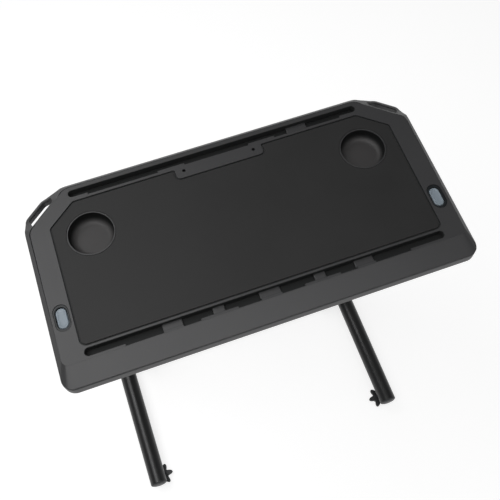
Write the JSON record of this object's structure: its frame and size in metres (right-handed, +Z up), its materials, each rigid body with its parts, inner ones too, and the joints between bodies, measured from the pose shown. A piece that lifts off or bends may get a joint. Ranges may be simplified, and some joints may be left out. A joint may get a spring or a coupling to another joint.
{
  "type": "bike trainer desk",
  "caption": "Height-adjustable desk for indoor cycling: matted top with cup wells, device slots and cable loops on telescopic columns, wheels and levelling feet.",
  "frame": {"origin": "on the floor, in the middle of the footprint", "axes": "+Z up, +Y away from the rider, X = 0 the plane of symmetry"},
  "size_m": [0.7896, 0.55, 1.046],
  "materials": {
    "shell": "satin moulded plastic with a fine grain",
    "lower": "moulded plastic with a fine grain",
    "mat": "matt rubber with a fine texture",
    "well": "satin plastic",
    "liner": "dull plastic",
    "button": "soft satin, pale blue-grey",
    "bezel": "dark satin plastic",
    "steel": "black powder coat",
    "bright": "bare ground steel",
    "nylon": "moulded nylon",
    "rubber": "matt rubber"
  },
  "bodies": {
    "base": {"base_crossbar": "steel", "leg_tube_left": "steel", "leg_tube_right": "steel", "leg_cap_left": "nylon", "leg_cap_right": "nylon", "foot_bush_left": "steel", "foot_bush_right": "steel", "column_saddle_left": "steel", "column_saddle_right": "steel", "outer_column_left": "steel", "outer_column_right": "steel", "column_collar_left": "nylon", "column_collar_right": "nylon", "gas_cylinder_left": "steel", "gas_cylinder_right": "steel", "wheel_bracket_left": "steel", "wheel_bracket_right": "steel", "wheel_axle_left": "bright", "wheel_axle_right": "bright"},
    "desktop": {"top_shell": "shell", "top_shell_front": "shell", "bottom_shell": "lower", "work_mat": "mat", "front_slot_liner": "liner", "rear_slot_liner": "liner", "underframe_crossbar": "steel", "support_arm_left": "steel", "support_arm_right": "steel", "cup_well_left": "well", "cup_well_right": "well", "button_bezel_left": "bezel", "button_bezel_right": "bezel", "column_head_left": "steel", "column_head_right": "steel", "inner_column_left": "steel", "inner_column_right": "steel", "column_glide_left": "nylon", "column_glide_right": "nylon", "gas_rod_left": "bright", "gas_rod_right": "bright", "button_spring_left": "bright", "button_spring_right": "bright"},
    "wheel_left": {"wheel_hub_left": "nylon", "wheel_tyre_left": "rubber"},
    "foot_left": {"foot_pad_left": "rubber"},
    "knob_left": {"foot_knob_left": "nylon", "foot_stud_left": "bright"},
    "button_left": {"button_left": "button"},
    "rocker_left": {"release_rocker_left": "nylon"},
    "shaft_left": {"release_shaft_left": "steel"},
    "pin_left": {"release_pin_left": "bright"},
    "wheel_right": {"wheel_hub_right": "nylon", "wheel_tyre_right": "rubber"},
    "foot_right": {"foot_pad_right": "rubber"},
    "knob_right": {"foot_knob_right": "nylon", "foot_stud_right": "bright"},
    "button_right": {"button_right": "button"},
    "rocker_right": {"release_rocker_right": "nylon"},
    "shaft_right": {"release_shaft_right": "steel"},
    "pin_right": {"release_pin_right": "bright"}
  },
  "joints": [
    {"name": "height_slide", "type": "slide", "parent": "base", "child": "desktop", "axis": [0, 0, 1], "range_m": [-0.205, 0.175]},
    {"name": "wheel_roll_left", "type": "hinge", "parent": "base", "child": "wheel_left", "pos_m": [-0.364, 0.24, 0.035], "axis": [1, 0, 0], "continuous": true},
    {"name": "foot_height_left", "type": "slide", "parent": "base", "child": "foot_left", "axis": [0, 0, -1], "range_m": [-0.003, 0.005]},
    {"name": "knob_turn_left", "type": "hinge", "parent": "foot_left", "child": "knob_left", "pos_m": [-0.35, -0.243, 0], "axis": [0, 0, 1], "range_deg": [-540, 900]},
    {"name": "button_press_left", "type": "slide", "parent": "desktop", "child": "button_left", "axis": [0, 0, -1], "range_m": [0, 0.004], "stiffness_N_per_m": 900, "springref_m": -0.002, "deforming": ["button_spring_left"]},
    {"name": "rocker_tilt_left", "type": "hinge", "parent": "desktop", "child": "rocker_left", "pos_m": [-0.3648, -0.018, 1.0275], "axis": [1, 0, 0], "range_deg": [0, 2.6]},
    {"name": "shaft_turn_left", "type": "hinge", "parent": "desktop", "child": "shaft_left", "pos_m": [-0.318, 0.101, 1.026], "axis": [-1, 0, 0], "range_deg": [0, 10.6]},
    {"name": "pin_push_left", "type": "slide", "parent": "desktop", "child": "pin_left", "axis": [0, 0, -1], "range_m": [0, 0.0039]},
    {"name": "wheel_roll_right", "type": "hinge", "parent": "base", "child": "wheel_right", "pos_m": [0.364, 0.24, 0.035], "axis": [1, 0, 0], "continuous": true},
    {"name": "foot_height_right", "type": "slide", "parent": "base", "child": "foot_right", "axis": [0, 0, -1], "range_m": [-0.003, 0.005]},
    {"name": "knob_turn_right", "type": "hinge", "parent": "foot_right", "child": "knob_right", "pos_m": [0.35, -0.243, 0], "axis": [0, 0, 1], "range_deg": [-540, 900]},
    {"name": "button_press_right", "type": "slide", "parent": "desktop", "child": "button_right", "axis": [0, 0, -1], "range_m": [0, 0.004], "stiffness_N_per_m": 900, "springref_m": -0.002, "deforming": ["button_spring_right"]},
    {"name": "rocker_tilt_right", "type": "hinge", "parent": "desktop", "child": "rocker_right", "pos_m": [0.3648, -0.018, 1.0275], "axis": [1, 0, 0], "range_deg": [0, 2.6]},
    {"name": "shaft_turn_right", "type": "hinge", "parent": "desktop", "child": "shaft_right", "pos_m": [0.318, 0.101, 1.026], "axis": [-1, 0, 0], "range_deg": [0, 10.6]},
    {"name": "pin_push_right", "type": "slide", "parent": "desktop", "child": "pin_right", "axis": [0, 0, -1], "range_m": [0, 0.0039]}
  ],
  "couplings": [
    {"joint": "knob_turn_left", "follows": "foot_height_left", "rad_per_m": 3141.6},
    {"joint": "rocker_tilt_left", "follows": "button_press_left", "rad_per_m": 11.111},
    {"joint": "shaft_turn_left", "follows": "button_press_left", "rad_per_m": 45.5},
    {"joint": "pin_push_left", "follows": "button_press_left", "ratio": 0.925},
    {"joint": "knob_turn_right", "follows": "foot_height_right", "rad_per_m": 3141.6},
    {"joint": "rocker_tilt_right", "follows": "button_press_right", "rad_per_m": 11.111},
    {"joint": "shaft_turn_right", "follows": "button_press_right", "rad_per_m": 45.5},
    {"joint": "pin_push_right", "follows": "button_press_right", "ratio": 0.925}
  ]
}
